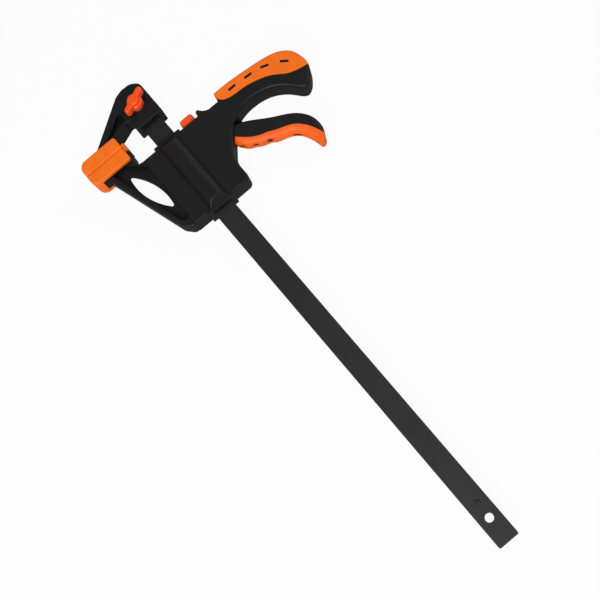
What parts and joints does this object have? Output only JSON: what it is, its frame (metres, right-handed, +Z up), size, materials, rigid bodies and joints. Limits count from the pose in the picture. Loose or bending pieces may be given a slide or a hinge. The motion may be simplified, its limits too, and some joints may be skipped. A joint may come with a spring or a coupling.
{
  "type": "quick release bar clamp",
  "caption": "One-hand quick release bar clamp: flat bar, fixed jaw, sliding jaw with pistol grip, squeeze trigger and release button, soft pads.",
  "frame": {"origin": "middle of the footprint in plan, on the surface the clamp lies on", "axes": "+X along the bar towards its free end, +Y from the jaws towards the grip, +Z up, across the clamp's thickness, towards the knob"},
  "size_m": [0.474, 0.1992, 0.0368],
  "materials": {
    "black_steel": "satin black oxide with a thin oil film",
    "bright_steel": "plain zinc or drawn steel",
    "black_nylon": "glass-filled nylon with a fine moulded grain",
    "orange_rubber": "soft matt overmould",
    "orange_plastic": "smooth satin moulding"
  },
  "bodies": {
    "bar": {"bar": "black_steel", "bar_stop_pin": "bright_steel", "fixed_jaw": "black_nylon", "fixed_jaw_pad": "orange_rubber", "jaw_lock_nut": "bright_steel"},
    "lock_washer": {"jaw_lock_washer": "bright_steel"},
    "lock_knob": {"jaw_lock_knob": "orange_plastic", "jaw_lock_screw": "bright_steel"},
    "sliding_jaw": {"housing_front": "black_nylon", "housing_back": "black_nylon", "housing_screws": "bright_steel", "moving_jaw_pad": "orange_rubber", "grip_overlay": "orange_rubber", "trigger_pin": "bright_steel", "drive_spring": "bright_steel", "brake_spring": "bright_steel"},
    "trigger": {"trigger": "black_nylon", "trigger_finger_grip": "orange_rubber"},
    "drive_plates": {"drive_plate_left": "bright_steel", "drive_plate_right": "bright_steel"},
    "brake": {"brake_lever": "bright_steel", "release_button": "orange_plastic"}
  },
  "joints": [
    {"name": "jaw_slide", "type": "slide", "parent": "bar", "child": "sliding_jaw", "axis": [1, 0, 0], "range_m": [0, 0.3]},
    {"name": "trigger_squeeze", "type": "hinge", "parent": "sliding_jaw", "child": "trigger", "pos_m": [-0.14524, 0.00736, 0.016], "axis": [0, 0, 1], "range_deg": [0, 18], "stiffness_Nm_per_rad": 0.4, "springref_deg": -17.19},
    {"name": "plates_advance", "type": "slide", "parent": "sliding_jaw", "child": "drive_plates", "axis": [1, 0, 0], "range_m": [0, 0.00775], "deforming": ["drive_spring"]},
    {"name": "brake_release", "type": "hinge", "parent": "sliding_jaw", "child": "brake", "pos_m": [-0.16354, -0.04554, 0.016], "axis": [0, 0, -1], "range_deg": [0, 6], "stiffness_Nm_per_rad": 0.6, "springref_deg": -11.46, "deforming": ["brake_spring"]},
    {"name": "lock_lift", "type": "slide", "parent": "bar", "child": "lock_washer", "axis": [0, 0, 1], "range_m": [0, 0.004]},
    {"name": "lock_turn", "type": "hinge", "parent": "lock_washer", "child": "lock_knob", "pos_m": [-0.21634, -0.02964, 0.016], "axis": [0, 0, 1], "range_deg": [0, 1440]}
  ],
  "couplings": [
    {"joint": "plates_advance", "follows": "trigger_squeeze", "m_per_rad": 0.024603},
    {"joint": "lock_turn", "follows": "lock_lift", "rad_per_m": 6283.2}
  ]
}
